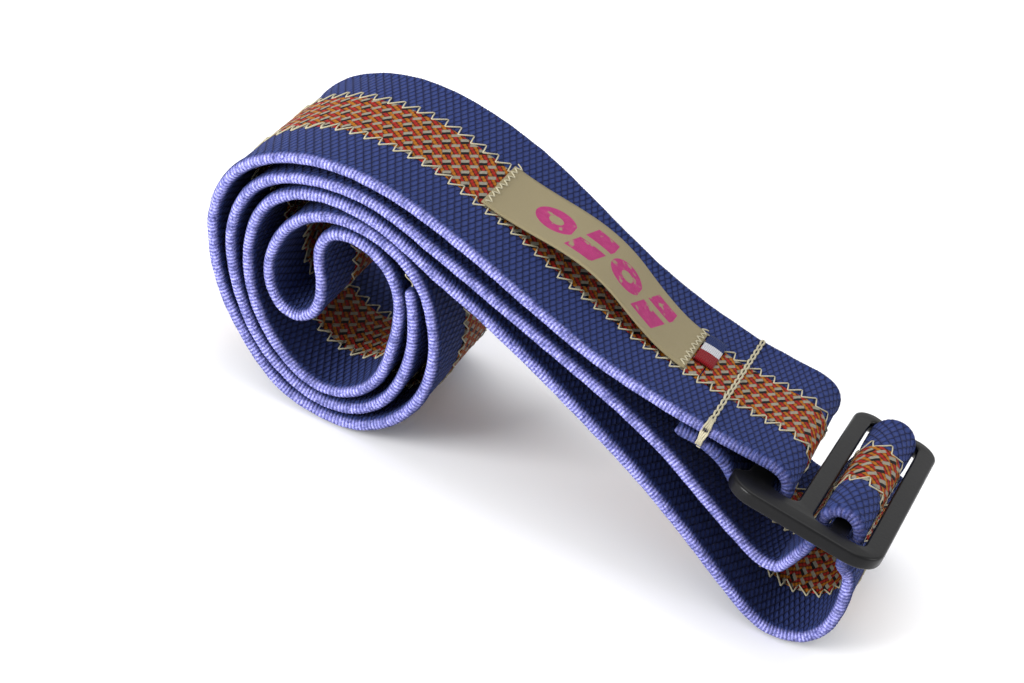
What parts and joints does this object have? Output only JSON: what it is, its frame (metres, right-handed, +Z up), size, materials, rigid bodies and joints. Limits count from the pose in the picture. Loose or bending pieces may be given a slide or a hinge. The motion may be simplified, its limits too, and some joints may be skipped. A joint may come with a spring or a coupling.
{
  "type": "gait belt",
  "caption": "Rolled narrow stretch webbing belt with a patterned ribbon on both faces, closed by a flat hook buckle through a stitched end loop.",
  "frame": {"origin": "middle of the footprint, at ground level", "axes": "+X from the roll towards the buckle, +Y across the webbing away from the viewer of the buckle's front edge, +Z up"},
  "size_m": [0.1164, 0.05, 0.0436],
  "materials": {
    "webbing": "twill woven blue stretch webbing with soft lilac edges",
    "ribbon": "woven ribbon with a small orange, ochre, black and grey pattern",
    "thread": "cream sewing thread",
    "label": "woven beige label with pink marks",
    "tag": "woven blue, white and dark red tag",
    "plate": "satin black enamel"
  },
  "bodies": {
    "belt": {"webbing_coil": "webbing", "webbing_tail": "webbing", "webbing_top_run": "webbing", "webbing_upper_lead": "webbing", "face_ribbon_coil": "ribbon", "face_ribbon_tail": "ribbon", "face_ribbon_loop": "ribbon", "face_ribbon_top_run": "ribbon", "face_ribbon_upper_lead": "ribbon", "back_ribbon_coil": "ribbon", "back_ribbon_tail": "ribbon", "back_ribbon_top_run": "ribbon", "back_ribbon_upper_lead": "ribbon", "seams_coil": "thread", "seams_tail": "thread", "seams_top_run": "thread", "seams_upper_lead": "thread", "loop_stitch": "thread", "label": "label", "label_stitches": "thread", "striped_tag": "tag"},
    "straps": {"webbing_upper_run": "webbing", "webbing_lower_run": "webbing", "face_ribbon_upper_run": "ribbon", "face_ribbon_lower_run": "ribbon", "back_ribbon_upper_run": "ribbon", "back_ribbon_lower_run": "ribbon", "seams_upper_run": "thread", "seams_lower_run": "thread"},
    "buckle": {"webbing_bridge": "webbing", "face_ribbon_bridge": "ribbon", "back_ribbon_bridge": "ribbon", "seams_bridge": "thread", "hook_buckle": "plate"}
  },
  "joints": [
    {"name": "unhook", "type": "slide", "parent": "belt", "child": "straps", "axis": [0, -0.9945, 0.1045], "range_m": [0, 0.045]},
    {"name": "buckle_tilt", "type": "hinge", "parent": "straps", "child": "buckle", "pos_m": [0.03546, -0.01639, 0.02395], "axis": [-0.044, -0.9936, 0.1042], "range_deg": [0, 12]}
  ]
}
